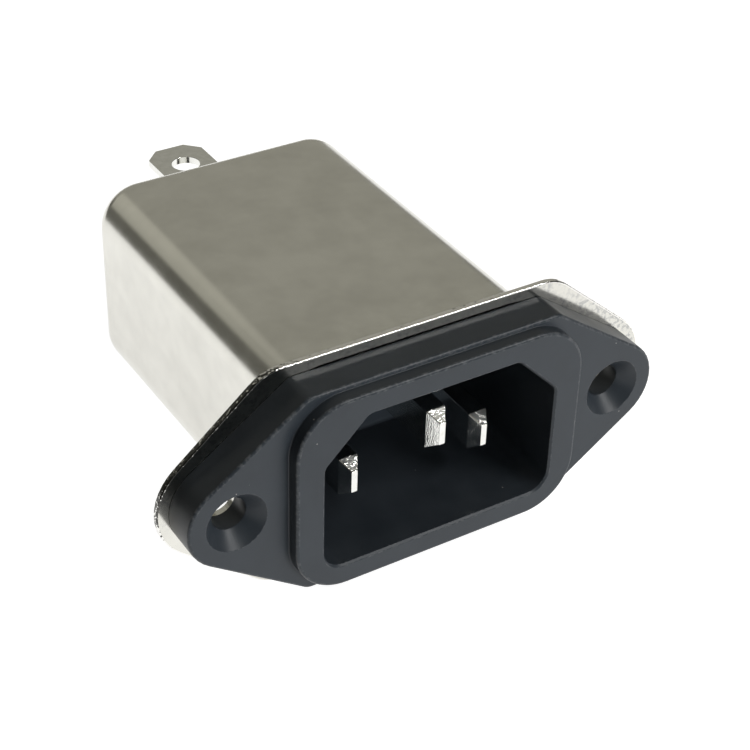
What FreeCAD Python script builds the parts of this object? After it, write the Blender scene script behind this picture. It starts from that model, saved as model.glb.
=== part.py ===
"""C14 appliance inlet for panel mounting, with a mains filter in a deep-drawn can.

Millimetres. X runs along the flange, Y goes from the front to the back, Z is up, with the
earth pin above the other two. The origin is midway between the two screw holes, on the back
face of the metal flange, which is the face that seats on the equipment's panel.
"""

import FreeCAD, Part
import math
import os

from FreeCAD import Vector

# --- Driving dimensions ---------------------------------------------------------------------

# Fixing to the panel
screw_pitch = 40.0
screw_hole_diameter = 3.3
countersink_diameter = 5.9
countersink_depth = 1.5

# Moulded flange and the raised rim round the socket
flange_thickness = 3.6
flange_end_radius = 4.65
flange_shoulder_x = 12.5
flange_shoulder_radius = 1.6
flange_edge_rounding = 0.3
rim_rise = 1.4
rim_side_wall = 2.85
rim_step = 0.4
rim_corner_radius = 5.2
rim_edge_rounding = 0.3

# Socket
socket_width = 24.2
socket_height = 15.7
socket_depth = 16.5
socket_chamfer = 4.3
socket_low_corner_radius = 2.0
socket_top_corner_radius = 1.0
socket_draft = 0.15
socket_bevel = 0.15
socket_floor_thickness = 3.0
tunnel_side_wall = 0.95
tunnel_roof_wall = 1.85

# Flat pins
pin_pitch = 14.0
pin_line_z = -2.15
earth_pin_rise = 4.9
pin_thickness = 2.0
pin_height = 4.0
pin_tip_length = 1.2
pin_tip_thickness = 0.65
pin_tip_height = 2.4
live_pin_setback = 3.6
earth_pin_setback = 0.35
pin_shoulder_step = 0.7
pin_shoulder_length = 1.2
pin_tail_height = 2.0
pin_tail_thickness = 1.0
pin_tail_beyond_board = 1.0
pin_clearance = 0.03

# Drawn can with its flange
sheet = 0.6
can_corner_radius = 4.3
can_end_rounding = 2.2
draw_radius = 0.5
can_flange_reveal = 1.15
can_flange_lip = 0.8
can_flange_shoulder_x = 13.6
can_flange_shoulder_radius = 4.3
can_flange_edge_rounding = 0.15
tunnel_clearance = 0.1

# Film sleeve inside the can
liner_thickness = 0.25
liner_clearance = 0.08
liner_end_gap = 0.5

# Circuit board
board_thickness = 1.6
board_clearance = 0.25
board_standoff = 1.5
board_pad_size = 2.0
board_pad_out_x = 1.8
board_pad_out_z = 0.4
hole_clearance = 0.1

# Common-mode choke: a ring core with one winding on each side of a divider
core_outer_radius = 4.8
core_inner_radius = 2.6
core_depth = 4.6
core_edge = 0.4
choke_board_gap = 1.5
choke_wire_diameter = 0.6
choke_wire_clearance = 0.05
choke_turns = 6
choke_turn_angle = 18.0
choke_wire_corner = 0.35
choke_wire_sides = 8
choke_divider_thickness = 0.8
choke_divider_overhang = 0.5
choke_divider_clearance = 0.05

# Mains capacitor and its bleed resistor
x_cap_thickness = 6.0
x_cap_length = 13.0
x_cap_depth = 11.9
x_cap_lead_pitch = 10.0
x_cap_edge = 0.4
x_cap_pin_gap = 0.2
lead_diameter = 0.6
lead_beyond_board = 0.5
resistor_body_diameter = 1.8
resistor_body_length = 5.0
resistor_cap_step = 0.1
resistor_cap_length = 1.1
resistor_lead_pitch = 8.0
resistor_lead_bend = 0.8
resistor_board_gap = 0.2

# Capacitors to earth, one above the choke and one below it
y_cap_diameter = 7.0
y_cap_thickness = 2.4
y_cap_edge = 0.9
y_cap_liner_gap = 0.55
y_cap_lead_pitch = 5.0
y_cap_board_gap = 0.8

# Blades at the back
blade_width = 6.3
blade_thickness = 0.8
blade_reach = 11.1
blade_corner = 1.5
blade_hole_diameter = 3.0
blade_hole_from_tip = 4.0
blade_pitch = 14.0
live_blade_lug = 0.6
live_blade_lug_length = 1.2
live_blade_tail_length = 2.6
live_blade_tail_height = 3.0
live_blade_eye_diameter = 1.2
live_blade_eye_from_end = 1.2
live_blade_room = 0.9

# Moulded carrier for the two live blades
carrier_thickness = 2.2
carrier_side_margin = 0.4
carrier_corner_radius = 1.5
carrier_floor_gap = 0.25
carrier_collar_thickness = 0.8
carrier_collar_rise = 1.6
carrier_collar_radius = 0.9
carrier_clearance = 0.08
blade_slot_clearance = 0.03

# Earth blade, its rivet and the strap to the earth pin
rivet_diameter = 2.0
rivet_head_diameter = 3.2
rivet_head_height = 0.9
rivet_head_rounding = 0.5
rivet_clearance = 0.02
rivet_carrier_gap = 0.2
rivet_bend_gap = 0.15
earth_blade_bend_radius = 0.8
earth_foot_margin = 0.8
strap_thickness = 0.4
strap_width = 3.2
strap_bend_radius = 0.8
strap_liner_gap = 0.3
strap_board_gap = 0.2
strap_below_pin = 0.7

# Insulated wires from the board to the live blades
wire_diameter = 1.3
wire_core_diameter = 0.6
wire_bare_length = 0.8
wire_bend_radius = 1.6
wire_end_beyond_blade = 0.5

# --- Places worked out from them ------------------------------------------------------------

# Outlines, from the socket outwards
can_width = socket_width + 2 * (tunnel_side_wall + tunnel_clearance + sheet)
can_height = socket_height + 2 * (tunnel_roof_wall + tunnel_clearance + sheet)
can_flange_height = can_height + 2 * (draw_radius + can_flange_lip)
can_flange_end_radius = flange_end_radius + can_flange_reveal
flange_height = can_flange_height - 2 * can_flange_reveal
rim_width = socket_width + 2 * rim_side_wall
rim_height = flange_height - 2 * rim_step
liner_inside = sheet + liner_clearance + liner_thickness

# Depths, from the front backwards
can_flange_front = -sheet
flange_front = can_flange_front - flange_thickness
rim_front = flange_front - rim_rise
socket_floor = rim_front + socket_depth
tunnel_back = socket_floor + socket_floor_thickness
board_front = tunnel_back + board_standoff
board_back = board_front + board_thickness
lead_front = board_front - lead_beyond_board
core_front = board_back + choke_board_gap + choke_wire_diameter + choke_wire_clearance
core_back = core_front + core_depth
x_cap_front = board_back + pin_tail_beyond_board + x_cap_pin_gap
blade_tail_front = x_cap_front + x_cap_depth + live_blade_room
blade_eye_y = blade_tail_front + live_blade_eye_from_end
blade_lug_front = blade_tail_front + live_blade_tail_length
carrier_front = blade_lug_front + live_blade_lug_length
can_inside_end = carrier_front + carrier_thickness
can_length = can_inside_end + sheet
blade_tip = can_length + blade_reach

# Across: choke, two wires, box capacitor and resistor share the can's width evenly
choke_radius = core_outer_radius + choke_wire_clearance + choke_wire_diameter
resistor_cap_diameter = resistor_body_diameter + 2 * resistor_cap_step
inside_width = can_width - 2 * liner_inside
row_width = 2 * choke_radius + 2 * wire_diameter + x_cap_thickness + resistor_cap_diameter
row_gap = (inside_width - row_width) / 6
choke_x = -inside_width / 2 + row_gap + choke_radius
line_wire_x = choke_x + choke_radius + row_gap + wire_diameter / 2
neutral_wire_x = line_wire_x + wire_diameter + row_gap
x_cap_x = neutral_wire_x + wire_diameter / 2 + row_gap + x_cap_thickness / 2
resistor_x = x_cap_x + x_cap_thickness / 2 + row_gap + resistor_cap_diameter / 2
live_pin_x = pin_pitch / 2
blade_x = blade_pitch / 2
board_pad_x = can_width / 2 - can_corner_radius + board_pad_out_x

# Heights
earth_pin_z = pin_line_z + earth_pin_rise
pin_shoulder_height = pin_height + 2 * pin_shoulder_step
board_pad_z = can_height / 2 - can_corner_radius + board_pad_out_z
y_cap_z = can_height / 2 - liner_inside - y_cap_liner_gap - y_cap_thickness / 2
collar_half_height = blade_width / 2 + carrier_collar_thickness
carrier_low = can_end_rounding + carrier_floor_gap - can_height / 2
live_blade_z = carrier_low + carrier_side_margin + collar_half_height
carrier_top = live_blade_z + collar_half_height + carrier_side_margin
rivet_z = carrier_top + rivet_carrier_gap + rivet_head_diameter / 2
earth_blade_z = (rivet_z + rivet_head_diameter / 2 + rivet_bend_gap + earth_blade_bend_radius
                 + blade_thickness / 2)
strap_top_z = can_height / 2 - liner_inside - strap_liner_gap - strap_thickness / 2


# --- Helpers --------------------------------------------------------------------------------

def corner_circles(corners):
    """Centre and radius of the circle that rounds each corner of a convex outline.

    corners lists (x, z, radius) anticlockwise in the XZ plane.
    """
    circles = []
    for index, (x, z, radius) in enumerate(corners):
        here = Vector(x, 0, z)
        before = Vector(corners[index - 1][0], 0, corners[index - 1][1]) - here
        following = corners[(index + 1) % len(corners)]
        after = Vector(following[0], 0, following[1]) - here
        half_angle = before.getAngle(after) / 2
        inward = (before.normalize() + after.normalize()).normalize()
        centre = here + inward * (radius / math.sin(half_angle))
        circles.append((centre.x, centre.z, radius))
    return circles


def rounded_rectangle(width, height, radius):
    """The four corner circles of a rounded rectangle round the Y axis."""
    x, z = width / 2, height / 2
    return corner_circles([(-x, -z, radius), (x, -z, radius), (x, z, radius), (-x, z, radius)])


def flange_outline(end_radius, height, shoulder_x, shoulder_radius):
    """Circles of a flange that narrows from four shoulders to a round end at each screw."""
    x, z = shoulder_x, height / 2 - shoulder_radius
    end_x = screw_pitch / 2
    return [(-end_x, 0, end_radius), (-x, -z, shoulder_radius), (x, -z, shoulder_radius),
            (end_x, 0, end_radius), (x, z, shoulder_radius), (-x, z, shoulder_radius)]


def grown(circles, amount):
    """The same outline moved outwards by amount, or inwards if it is negative."""
    return [(x, z, radius + amount) for x, z, radius in circles]


def belt(circles, y):
    """Closed wire at depth y: tangent lines and arcs, like a belt round the circles."""
    count = len(circles)
    normals = []
    for index in range(count):
        x0, z0, r0 = circles[index]
        x1, z1, r1 = circles[(index + 1) % count]
        along = Vector(x1 - x0, 0, z1 - z0)
        slope = math.asin((r0 - r1) / along.Length)
        along.normalize()
        outward = Vector(along.z, 0, -along.x)
        normals.append(outward * math.cos(slope) + along * math.sin(slope))
    edges = []
    for index, (x, z, radius) in enumerate(circles):
        centre = Vector(x, y, z)
        came, leaves = normals[index - 1], normals[index]
        middle = (came + leaves).normalize()
        edges.append(Part.Arc(centre + came * radius, centre + middle * radius,
                              centre + leaves * radius).toShape())
        following = circles[(index + 1) % count]
        next_centre = Vector(following[0], y, following[1])
        edges.append(Part.LineSegment(centre + leaves * radius,
                                      next_centre + leaves * following[2]).toShape())
    return Part.Wire(edges)


def prism(circles, front, back):
    """Solid between the depths front and back, with the circles' outline."""
    return Part.Face(belt(circles, front)).extrude(Vector(0, back - front, 0))


def drafted(front_circles, front, back_circles, back):
    """Solid that tapers from one outline to another with as many corners."""
    return Part.makeLoft([belt(front_circles, front), belt(back_circles, back)], True, True)


def block(x0, x1, y0, y1, z0, z1):
    """Box between two opposite corners."""
    return Part.makeBox(x1 - x0, y1 - y0, z1 - z0, Vector(x0, y0, z0))


def centred_block(x, z, width, height, front, back):
    """Box along Y round the line through x and z."""
    return block(x - width / 2, x + width / 2, front, back, z - height / 2, z + height / 2)


def rod(x, z, diameter, front, back):
    """Cylinder along Y through x and z."""
    return Part.makeCylinder(diameter / 2, back - front, Vector(x, front, z), Vector(0, 1, 0))


def edges_at(shape, depth):
    """Edges that lie wholly at one depth."""
    return [edge for edge in shape.Edges
            if abs(edge.BoundBox.YMin - depth) < 1e-6 and abs(edge.BoundBox.YMax - depth) < 1e-6]


def bent_path(points, radius):
    """Wire through the points, with an arc of one radius at each bend."""
    edges = []
    start = points[0]
    for before, corner, after in zip(points, points[1:], points[2:]):
        back, ahead = (before - corner).normalize(), (after - corner).normalize()
        half_angle = back.getAngle(ahead) / 2
        reach = radius / math.tan(half_angle)
        enters, leaves = corner + back * reach, corner + ahead * reach
        bisector = (back + ahead).normalize()
        middle = corner + bisector * (radius / math.sin(half_angle) - radius)
        edges.append(Part.LineSegment(start, enters).toShape())
        edges.append(Part.Arc(enters, middle, leaves).toShape())
        start = leaves
    edges.append(Part.LineSegment(start, points[-1]).toShape())
    return Part.Wire(edges)


def round_wire(points, diameter, bend_radius):
    """Round wire along a bent path."""
    path = bent_path(points, bend_radius)
    first = (points[1] - points[0]).normalize()
    section = Part.Wire(Part.Circle(points[0], first, diameter / 2).toShape())
    return path.makePipeShell([section], True, False)


def strip(points, thickness, width, bend_radius):
    """Bent sheet strip, as wide along X as width, whose middle plane follows the points."""
    path = bent_path(points, bend_radius)
    first = (points[1] - points[0]).normalize()
    across = Vector(1, 0, 0) * (width / 2)
    up = first.cross(Vector(1, 0, 0)) * (thickness / 2)
    corners = [points[0] + across + up, points[0] - across + up,
               points[0] - across - up, points[0] + across - up]
    section = Part.makePolygon(corners + corners[:1])
    return path.makePipeShell([section], True, False)


def mitred_wire(points, diameter, sides):
    """Thin wire of many short straight runs, with a flat-sided section mitred at each corner."""
    radius = diameter / 2
    along = (points[1] - points[0]).normalize()
    across = along.cross(Vector(0.31, 0.87, 0.38)).normalize()
    above = along.cross(across)
    ring = []
    for side in range(sides):
        angle = 2 * math.pi * side / sides
        ring.append(points[0] + across * (radius * math.cos(angle))
                    + above * (radius * math.sin(angle)))
    rings = [ring]
    for index in range(1, len(points)):
        run = (points[index] - points[index - 1]).normalize()
        plane = run
        if index + 1 < len(points):
            plane = (run + (points[index + 1] - points[index]).normalize()).normalize()
        moved = []
        for corner in rings[-1]:
            travel = (points[index] - corner).dot(plane) / run.dot(plane)
            moved.append(corner + run * travel)
        rings.append(moved)
    faces = [Part.Face(Part.makePolygon(end + end[:1])) for end in (rings[0], rings[-1])]
    for near, far in zip(rings, rings[1:]):
        for side in range(sides):
            other = (side + 1) % sides
            quad = [near[side], near[other], far[other], far[side], near[side]]
            faces.append(Part.Face(Part.makePolygon(quad)))
    shell = Part.makeShell(faces)
    shell.sewShape()
    return Part.makeSolid(Part.Shell(shell.Faces))


# --- Moulded front --------------------------------------------------------------------------

def socket_outline():
    """Socket seen from the front: a rectangle with its two upper corners cut at 45 degrees."""
    x, z = socket_width / 2, socket_height / 2
    cut, low, top = socket_chamfer, socket_low_corner_radius, socket_top_corner_radius
    return corner_circles([(-x, -z, low), (x, -z, low), (x, z - cut, top),
                           (x - cut, z, top), (-x + cut, z, top), (-x, z - cut, top)])


def can_inside_outline():
    """Inside of the can's wall."""
    return grown(rounded_rectangle(can_width, can_height, can_corner_radius), -sheet)


def pin_places():
    """Name, x, z and tip of each pin."""
    live_tip, earth_tip = rim_front + live_pin_setback, rim_front + earth_pin_setback
    return [("line_pin", -live_pin_x, pin_line_z, live_tip),
            ("neutral_pin", live_pin_x, pin_line_z, live_tip),
            ("earth_pin", 0.0, earth_pin_z, earth_tip)]


def make_inlet_moulding():
    """Flange, rim, socket and tunnel in one moulding."""
    flange = prism(flange_outline(flange_end_radius, flange_height, flange_shoulder_x,
                                  flange_shoulder_radius), flange_front, can_flange_front)
    flange = flange.makeFillet(flange_edge_rounding, edges_at(flange, flange_front))
    rim = prism(rounded_rectangle(rim_width, rim_height, rim_corner_radius),
                rim_front, can_flange_front)
    rim = rim.makeFillet(rim_edge_rounding, edges_at(rim, rim_front))
    tunnel = prism(grown(can_inside_outline(), -tunnel_clearance), flange_front, tunnel_back)
    body = flange.fuse([rim, tunnel])

    mouth = socket_outline()
    bevel = drafted(grown(mouth, socket_bevel), rim_front, mouth, rim_front + socket_bevel)
    socket = drafted(mouth, rim_front, grown(mouth, -socket_draft), socket_floor)
    body = body.cut(socket.fuse(bevel))

    for side in (-1, 1):
        x = side * screw_pitch / 2
        hole = rod(x, 0, screw_hole_diameter, flange_front, can_flange_front)
        cone = Part.makeCone(countersink_diameter / 2, screw_hole_diameter / 2,
                             countersink_depth, Vector(x, flange_front, 0), Vector(0, 1, 0))
        body = body.cut(hole.fuse(cone))

    for name, x, z, tip in pin_places():
        slot = centred_block(x, z, pin_thickness + 2 * pin_clearance,
                             pin_height + 2 * pin_clearance, socket_floor, tunnel_back)
        seat = centred_block(x, z, pin_thickness + 2 * pin_clearance,
                             pin_shoulder_height + 2 * pin_clearance,
                             tunnel_back - pin_shoulder_length, tunnel_back)
        body = body.cut(slot.fuse(seat))

    pads = [centred_block(x, z, board_pad_size, board_pad_size, tunnel_back, board_front)
            for x in (-board_pad_x, board_pad_x) for z in (-board_pad_z, board_pad_z)]
    return body.fuse(pads).removeSplitter()


def make_pin(x, z, tip):
    """Flat pin: tapered tip, blade, shoulder behind the socket's floor and solder tail."""
    def section(thickness, height, y):
        a, b = thickness / 2, height / 2
        corners = [Vector(x - a, y, z - b), Vector(x + a, y, z - b),
                   Vector(x + a, y, z + b), Vector(x - a, y, z + b)]
        return Part.makePolygon(corners + corners[:1])

    shoulder_front = tunnel_back - pin_shoulder_length
    taper = Part.makeLoft([section(pin_tip_thickness, pin_tip_height, tip),
                           section(pin_thickness, pin_height, tip + pin_tip_length)], True, True)
    blade = centred_block(x, z, pin_thickness, pin_height, tip + pin_tip_length, shoulder_front)
    shoulder = centred_block(x, z, pin_thickness, pin_shoulder_height, shoulder_front, tunnel_back)
    tail = centred_block(x, z, pin_tail_thickness, pin_tail_height, tunnel_back,
                         board_back + pin_tail_beyond_board)
    return taper.fuse([blade, shoulder, tail]).removeSplitter()


# --- Drawn can ------------------------------------------------------------------------------

def collar_outline(side, margin):
    """Outline of the carrier's collar round one live blade, grown by margin."""
    x = blade_thickness / 2 + carrier_collar_thickness
    circles = rounded_rectangle(2 * x, 2 * collar_half_height, carrier_collar_radius)
    return [(cx + side * blade_x, cz + live_blade_z, radius)
            for cx, cz, radius in grown(circles, margin)]


def inner_edges(shape, depth):
    """Edges at one depth that belong to the can's wall and not to the flange's outline."""
    x, z = can_width / 2 + 0.01, can_height / 2 + 0.01
    return [edge for edge in edges_at(shape, depth)
            if edge.BoundBox.XMin > -x and edge.BoundBox.XMax < x
            and edge.BoundBox.ZMin > -z and edge.BoundBox.ZMax < z]


def make_shield_can():
    """Can and flange from one sheet, with the openings in its closed end."""
    outline = flange_outline(can_flange_end_radius, can_flange_height, can_flange_shoulder_x,
                             can_flange_shoulder_radius)
    plate = prism(outline, can_flange_front, 0)
    plate = plate.makeFillet(can_flange_edge_rounding, edges_at(plate, can_flange_front))
    outside = prism(rounded_rectangle(can_width, can_height, can_corner_radius), 0, can_length)
    outside = outside.makeFillet(can_end_rounding, edges_at(outside, can_length))
    body = outside.fuse(plate)
    body = body.makeFillet(draw_radius, inner_edges(body, 0))

    inside = prism(can_inside_outline(), can_flange_front, can_inside_end)
    inside = inside.makeFillet(can_end_rounding - sheet, edges_at(inside, can_inside_end))
    body = body.cut(inside)
    body = body.makeFillet(draw_radius + sheet, inner_edges(body, can_flange_front))

    for side in (-1, 1):
        body = body.cut(rod(side * screw_pitch / 2, 0, screw_hole_diameter, can_flange_front, 0))
        opening = collar_outline(side, carrier_clearance)
        body = body.cut(prism(opening, can_inside_end, can_length))
    rivet_hole = rod(0, rivet_z, rivet_diameter + 2 * rivet_clearance, can_inside_end, can_length)
    return body.cut(rivet_hole)


def make_insulating_liner():
    """Film sleeve between the filter and the can's wall."""
    front, back = tunnel_back + liner_end_gap, carrier_front - liner_end_gap
    outside = grown(can_inside_outline(), -liner_clearance)
    return prism(outside, front, back).cut(prism(grown(outside, -liner_thickness), front, back))


# --- Blades at the back ---------------------------------------------------------------------

def flat_blade(from_y):
    """Blade lying flat with its middle on the Y axis, from from_y to the tip."""
    half = blade_width / 2
    corners = [Vector(-half, from_y, 0), Vector(half, from_y, 0),
               Vector(half, blade_tip - blade_corner, 0), Vector(half - blade_corner, blade_tip, 0),
               Vector(-half + blade_corner, blade_tip, 0), Vector(-half, blade_tip - blade_corner, 0)]
    for corner in corners:
        corner.z = -blade_thickness / 2
    plate = Part.Face(Part.makePolygon(corners + corners[:1])).extrude(Vector(0, 0, blade_thickness))
    centre = Vector(0, blade_tip - blade_hole_from_tip, -blade_thickness)
    return plate.cut(Part.makeCylinder(blade_hole_diameter / 2, 2 * blade_thickness, centre))


def make_live_blade(side):
    """Upright blade with two lugs that stop against its carrier and an eye for the wire."""
    blade = flat_blade(carrier_front)
    half = blade_thickness / 2
    lug = blade_width / 2 + live_blade_lug
    tail = live_blade_tail_height / 2
    lugs = block(-lug, lug, blade_lug_front, carrier_front, -half, half)
    tail_plate = block(-tail, tail, blade_tail_front, blade_lug_front, -half, half)
    eye = Part.makeCylinder(live_blade_eye_diameter / 2, 2 * blade_thickness,
                            Vector(0, blade_eye_y, -blade_thickness))
    blade = blade.fuse([lugs, tail_plate]).cut(eye).removeSplitter()
    blade.rotate(Vector(0, 0, 0), Vector(0, 1, 0), 90)
    blade.translate(Vector(side * blade_x, 0, live_blade_z))
    return blade


def make_terminal_carrier():
    """Moulded plate inside the end wall, with a collar through it round each live blade."""
    width = 2 * (blade_x + blade_thickness / 2 + carrier_collar_thickness + carrier_side_margin)
    height = 2 * (collar_half_height + carrier_side_margin)
    plate = [(x, z + live_blade_z, radius)
             for x, z, radius in rounded_rectangle(width, height, carrier_corner_radius)]
    body = prism(plate, carrier_front, can_inside_end)
    for side in (-1, 1):
        body = body.fuse(prism(collar_outline(side, 0), carrier_front,
                               can_length + carrier_collar_rise))
        slot = centred_block(side * blade_x, live_blade_z,
                             blade_thickness + 2 * blade_slot_clearance,
                             blade_width + 2 * blade_slot_clearance,
                             carrier_front, can_length + carrier_collar_rise)
        body = body.cut(slot)
    return body.removeSplitter()


def make_earth_blade():
    """Blade bent down into a foot that lies on the can's end wall."""
    middle = can_length + blade_thickness / 2
    foot_low = rivet_z - rivet_head_diameter / 2 - earth_foot_margin
    bracket = strip([Vector(0, blade_tip, earth_blade_z), Vector(0, middle, earth_blade_z),
                     Vector(0, middle, foot_low)],
                    blade_thickness, blade_width, earth_blade_bend_radius + blade_thickness / 2)
    tip = flat_blade(can_length)
    tip.translate(Vector(0, 0, earth_blade_z))
    foot = centred_block(0, (foot_low + earth_blade_z) / 2, blade_width,
                         earth_blade_z - foot_low, can_length, can_length + 3 * blade_thickness)
    rivet_hole = rod(0, rivet_z, rivet_diameter + 2 * rivet_clearance,
                     can_length, can_length + blade_thickness)
    return bracket.common(tip.fuse(foot)).cut(rivet_hole).removeSplitter()


def make_earth_rivet():
    """Rivet with a domed head on the foot and a flatter one on the strap."""
    inner_end = can_inside_end - strap_thickness
    outer_end = can_length + blade_thickness
    shank = rod(0, rivet_z, rivet_diameter, inner_end, outer_end)
    head = rod(0, rivet_z, rivet_head_diameter, outer_end, outer_end + rivet_head_height)
    head = head.makeFillet(rivet_head_rounding, edges_at(head, outer_end + rivet_head_height))
    formed = rod(0, rivet_z, rivet_head_diameter, inner_end - rivet_head_height / 2, inner_end)
    return shank.fuse([head, formed])


def make_earth_strap():
    """Strip from the rivet up the end wall, forward under the roof and down to the earth pin."""
    wall_y = can_inside_end - strap_thickness / 2
    board_y = board_back + strap_board_gap + strap_thickness / 2
    low_z = earth_pin_z - pin_tail_height / 2 - strap_below_pin
    body = strip([Vector(0, wall_y, rivet_z - rivet_head_diameter / 2),
                  Vector(0, wall_y, strap_top_z), Vector(0, board_y, strap_top_z),
                  Vector(0, board_y, low_z)],
                 strap_thickness, strap_width, strap_bend_radius)
    rivet_hole = rod(0, rivet_z, rivet_diameter + 2 * rivet_clearance,
                     can_inside_end - strap_thickness, can_inside_end)
    pin_slot = centred_block(0, earth_pin_z, pin_tail_thickness + 2 * pin_clearance,
                             pin_tail_height + 2 * pin_clearance, board_back,
                             board_back + strap_board_gap + strap_thickness)
    return body.cut(rivet_hole).cut(pin_slot)


# --- Filter ---------------------------------------------------------------------------------

def choke_angles(side):
    """Angles of a winding's runs down the outside of the core, above it or below it."""
    first = side * 90.0 - choke_turns * choke_turn_angle / 2
    return [first + index * choke_turn_angle for index in range(choke_turns + 1)]


def winding_point(angle, radius, y):
    """Point at an angle and radius round the core's axis."""
    turned = math.radians(angle)
    return Vector(choke_x + radius * math.cos(turned), y, radius * math.sin(turned))


def winding_radii():
    """Radii of the wire's middle in the core's bore and outside the core."""
    stand_off = choke_wire_clearance + choke_wire_diameter / 2
    return core_inner_radius - stand_off, core_outer_radius + stand_off


def make_choke_winding(side):
    """One wire: up from the board, round the core turn by turn and back down to the board."""
    cut = choke_wire_corner
    inner, outer = winding_radii()
    stand_off = choke_wire_clearance + choke_wire_diameter / 2
    near, far = core_front - stand_off, core_back + stand_off
    angles = choke_angles(side)
    points = [winding_point(angles[0], outer, lead_front)]
    for angle, following in zip(angles, angles[1:]):
        points += [winding_point(angle, outer, far - cut),
                   winding_point(angle, outer - cut, far),
                   winding_point(angle, inner + cut, far),
                   winding_point(angle, inner, far - cut),
                   winding_point(angle, inner, near + cut),
                   winding_point(angle, inner + cut, near)]
        if following != angles[-1]:
            points += [winding_point(following, outer - cut, near),
                       winding_point(following, outer, near + cut)]
    points += [winding_point(angles[-1], outer - cut, near),
               winding_point(angles[-1], outer, near - cut),
               winding_point(angles[-1], outer, lead_front)]
    return mitred_wire(points, choke_wire_diameter, choke_wire_sides)


def make_choke_core():
    """Ring of ferrite with rounded edges."""
    ring = rod(choke_x, 0, 2 * core_outer_radius, core_front, core_back)
    ring = ring.cut(rod(choke_x, 0, 2 * core_inner_radius, core_front, core_back))
    rims = edges_at(ring, core_front) + edges_at(ring, core_back)
    return ring.makeFillet(core_edge, rims)


def make_choke_divider():
    """Plate across the core's bore that keeps the two windings apart."""
    width = 2 * (core_inner_radius - choke_divider_clearance)
    return centred_block(choke_x, 0, width, choke_divider_thickness,
                         core_front - choke_divider_overhang, core_back + choke_divider_overhang)


def x_cap_lead_places():
    """x and z of the mains capacitor's two leads."""
    return [(x_cap_x, side * x_cap_lead_pitch / 2) for side in (-1, 1)]


def make_x_capacitor():
    """Box capacitor that stands on the board."""
    body = centred_block(x_cap_x, 0, x_cap_thickness, x_cap_length,
                         x_cap_front, x_cap_front + x_cap_depth)
    return body.makeFillet(x_cap_edge, body.Edges)


def make_x_capacitor_leads():
    """Two straight leads from the box through the board."""
    return Part.makeCompound([rod(x, z, lead_diameter, lead_front, x_cap_front)
                              for x, z in x_cap_lead_places()])


def y_cap_lead_places(side):
    """x and z of the two leads of a capacitor to earth."""
    return [(choke_x + end * y_cap_lead_pitch / 2, side * y_cap_z) for end in (-1, 1)]


def make_y_capacitor(side):
    """Disc capacitor on edge, its flat faces towards the choke and the can."""
    centre_y = board_back + y_cap_board_gap + y_cap_diameter / 2
    low = Vector(choke_x, centre_y, side * y_cap_z - y_cap_thickness / 2)
    disc = Part.makeCylinder(y_cap_diameter / 2, y_cap_thickness, low)
    rims = [edge for edge in disc.Edges if abs(edge.BoundBox.ZLength) < 1e-6]
    return disc.makeFillet(y_cap_edge, rims)


def make_y_capacitor_leads(side):
    """Two leads from the disc through the board."""
    disc = make_y_capacitor(side)
    reach = board_back + y_cap_board_gap + y_cap_diameter / 2
    leads = [rod(x, z, lead_diameter, lead_front, reach).cut(disc)
             for x, z in y_cap_lead_places(side)]
    outside = [min(lead.Solids, key=lambda solid: solid.CenterOfMass.y) for lead in leads]
    return Part.makeCompound(outside)


def resistor_lead_places():
    """x and z where the bleed resistor's leads pass the board."""
    return [(resistor_x, side * resistor_lead_pitch / 2) for side in (-1, 1)]


def resistor_axis_y():
    """Depth of the bleed resistor's axis."""
    return board_back + resistor_board_gap + resistor_cap_diameter / 2


def make_bleed_resistor():
    """Axial resistor: a waist between two end caps."""
    start = Vector(resistor_x, resistor_axis_y(), -resistor_body_length / 2)
    waist = Part.makeCylinder(resistor_body_diameter / 2, resistor_body_length, start)
    caps = []
    for z in (-resistor_body_length / 2, resistor_body_length / 2 - resistor_cap_length):
        caps.append(Part.makeCylinder(resistor_cap_diameter / 2, resistor_cap_length,
                                      Vector(resistor_x, resistor_axis_y(), z)))
    return waist.fuse(caps)


def make_bleed_resistor_leads():
    """Two leads bent down from the resistor's ends through the board."""
    leads = []
    for side in (-1, 1):
        z = side * resistor_lead_pitch / 2
        points = [Vector(resistor_x, lead_front, z), Vector(resistor_x, resistor_axis_y(), z),
                  Vector(resistor_x, resistor_axis_y(), side * resistor_body_length / 2)]
        leads.append(round_wire(points, lead_diameter, resistor_lead_bend))
    return Part.makeCompound(leads)


def make_live_wire(side):
    """Insulated wire from the board, back and outwards into the eye of a live blade."""
    x = line_wire_x if side < 0 else neutral_wire_x
    end_x = side * (blade_x + blade_thickness / 2 + wire_end_beyond_blade)
    cover_x = side * (blade_x - blade_thickness / 2 - wire_bare_length)
    corner = Vector(x, blade_eye_y, live_blade_z)
    core = round_wire([Vector(x, lead_front, live_blade_z), corner,
                       Vector(end_x, blade_eye_y, live_blade_z)],
                      wire_core_diameter, wire_bend_radius)
    cover = round_wire([Vector(x, board_back + wire_bare_length, live_blade_z), corner,
                        Vector(cover_x, blade_eye_y, live_blade_z)],
                       wire_diameter, wire_bend_radius)
    return core.fuse(cover)


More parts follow.
